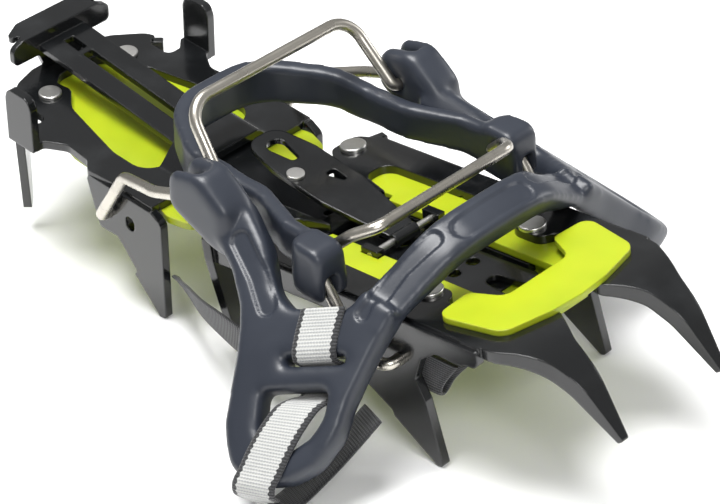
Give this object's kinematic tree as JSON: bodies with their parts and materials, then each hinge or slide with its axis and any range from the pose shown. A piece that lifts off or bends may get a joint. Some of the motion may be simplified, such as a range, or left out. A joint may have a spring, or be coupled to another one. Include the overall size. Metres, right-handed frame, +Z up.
{
  "type": "strap-on mountaineering crampon",
  "caption": "Ten-point strap-on crampon with pre-bent linking bar, anti-balling plates and hinged plastic toe and heel baskets on wire bails.",
  "frame": {"origin": "centre of the bounding box at the level of the points' tips", "axes": "+X towards the toe, +Y to the far side of the crampon, +Z up; the crampon stands on the front section's side points and the heel section's front points"},
  "size_m": [0.2846, 0.1876, 0.0926],
  "materials": {
    "black_steel": "gloss",
    "lime_plastic": "gloss",
    "rivet_steel": "satin",
    "bail_wire": "satin",
    "basket_plastic": "satin",
    "webbing_pale": "matte",
    "webbing_black": "matte"
  },
  "bodies": {
    "front_section": {"front_frame": "black_steel", "front_antiball_plate": "lime_plastic", "front_rivets": "rivet_steel", "bar_guide": "black_steel", "lever_pin": "rivet_steel", "inner_strap": "webbing_black"},
    "lever": {"lock_lever": "black_steel", "lock_stud": "black_steel", "lever_rivet": "rivet_steel"},
    "heel_section": {"linking_bar": "black_steel", "heel_frame": "black_steel", "heel_antiball_plate": "lime_plastic", "heel_rivets": "rivet_steel", "rear_strap": "webbing_black"},
    "heel_bail": {"heel_bail_wire": "bail_wire"},
    "rear_basket": {"heel_basket": "basket_plastic", "side_strap": "webbing_pale", "strap_stitching": "webbing_black"},
    "toe_bail": {"toe_bail_wire": "bail_wire"},
    "front_basket": {"toe_basket": "basket_plastic"}
  },
  "joints": [
    {"name": "bar_slide", "type": "slide", "parent": "front_section", "child": "heel_section", "axis": [0.9991, 0, 0.0419], "range_m": [-0.0084, 0]},
    {"name": "lever_lift", "type": "hinge", "parent": "front_section", "child": "lever", "pos_m": [0.03204, 0.00213, 0.0455], "axis": [0, 1, 0], "range_deg": [0, 15], "stiffness_Nm_per_rad": 0.5, "springref_deg": -2.86},
    {"name": "heel_bail_turn", "type": "hinge", "parent": "heel_section", "child": "heel_bail", "pos_m": [-0.07131, 0.00213, 0.03387], "axis": [0, 1, 0], "range_deg": [-80, 0]},
    {"name": "heel_basket_turn", "type": "hinge", "parent": "heel_bail", "child": "rear_basket", "pos_m": [-0.00729, 0.00213, 0.06831], "axis": [0, 1, 0], "range_deg": [-60, 0]},
    {"name": "toe_bail_turn", "type": "hinge", "parent": "front_section", "child": "toe_bail", "pos_m": [0.06731, 0.00213, 0.03464], "axis": [0, 1, 0], "range_deg": [0, 72]},
    {"name": "toe_basket_turn", "type": "hinge", "parent": "toe_bail", "child": "front_basket", "pos_m": [0.0388, 0.00213, 0.06216], "axis": [0, 1, 0], "range_deg": [-40, 0]}
  ],
  "couplings": [
    {"joint": "toe_bail_turn", "follows": "heel_bail_turn", "ratio": -0.9},
    {"joint": "toe_basket_turn", "follows": "heel_bail_turn", "ratio": 0.5}
  ]
}
